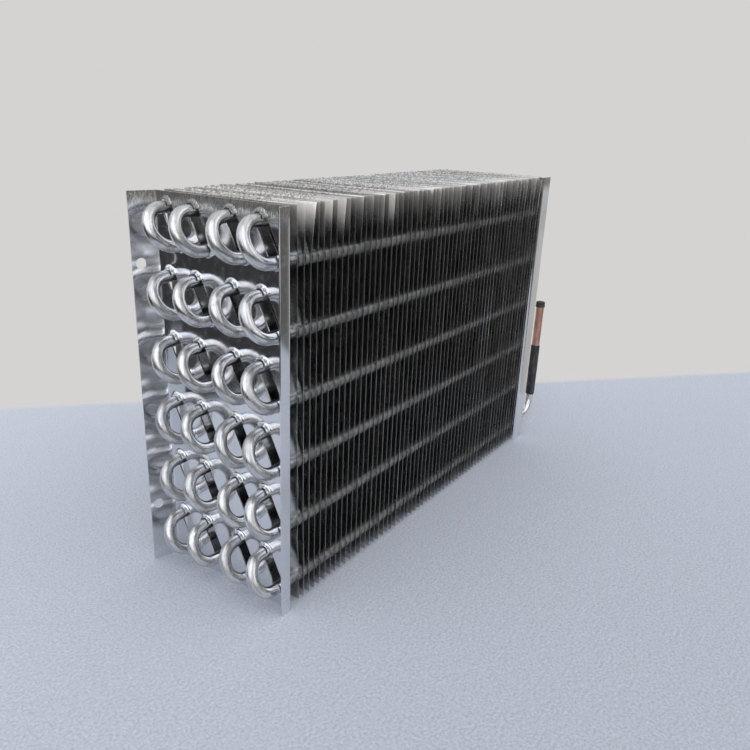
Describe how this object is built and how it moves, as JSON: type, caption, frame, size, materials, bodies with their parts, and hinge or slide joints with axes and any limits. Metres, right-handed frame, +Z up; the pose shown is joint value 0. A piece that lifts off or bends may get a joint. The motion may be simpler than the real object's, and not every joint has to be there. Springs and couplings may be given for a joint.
{
  "type": "finned tube evaporator",
  "caption": "Block of thin cooling fins threaded on upright serpentines of round tube between flanged end plates, with capped pipe tails.",
  "frame": {"origin": "middle of the near end plate's lower edge, on the sheet's middle plane, where the block stands", "axes": "+X along the tubes from the plain bends to the pipe tails, +Y from the front to the wide flanges at the back, +Z up"},
  "size_m": [0.4371, 0.118, 0.267],
  "materials": {
    "plate_aluminium": "polished",
    "tube_aluminium": "polished",
    "fin_aluminium": "satin",
    "copper": "dull",
    "black_sleeve": "satin",
    "dark_rubber": "matt"
  },
  "bodies": {
    "root": {"near_end_plate": "plate_aluminium", "far_end_plate": "plate_aluminium", "coil_column_1": "tube_aluminium", "coil_column_2": "tube_aluminium", "coil_column_3": "tube_aluminium", "coil_column_4": "tube_aluminium", "crossover_back": "tube_aluminium", "crossover_middle": "tube_aluminium", "crossover_front": "tube_aluminium", "inlet_sleeve": "black_sleeve", "inlet_pipe": "copper", "inlet_cap": "dark_rubber", "outlet_sleeve": "black_sleeve", "outlet_pipe": "copper", "outlet_cap": "dark_rubber", "fins_01": "fin_aluminium", "fins_02": "fin_aluminium", "fins_03": "fin_aluminium", "fins_04": "fin_aluminium", "fins_05": "fin_aluminium", "fins_06": "fin_aluminium", "fins_07": "fin_aluminium", "fins_08": "fin_aluminium", "fins_09": "fin_aluminium", "fins_10": "fin_aluminium", "fins_11": "fin_aluminium", "fins_12": "fin_aluminium", "fins_13": "fin_aluminium", "fins_14": "fin_aluminium", "fins_15": "fin_aluminium", "fins_16": "fin_aluminium", "fins_17": "fin_aluminium", "fins_18": "fin_aluminium", "fins_19": "fin_aluminium"}
  },
  "joints": []
}
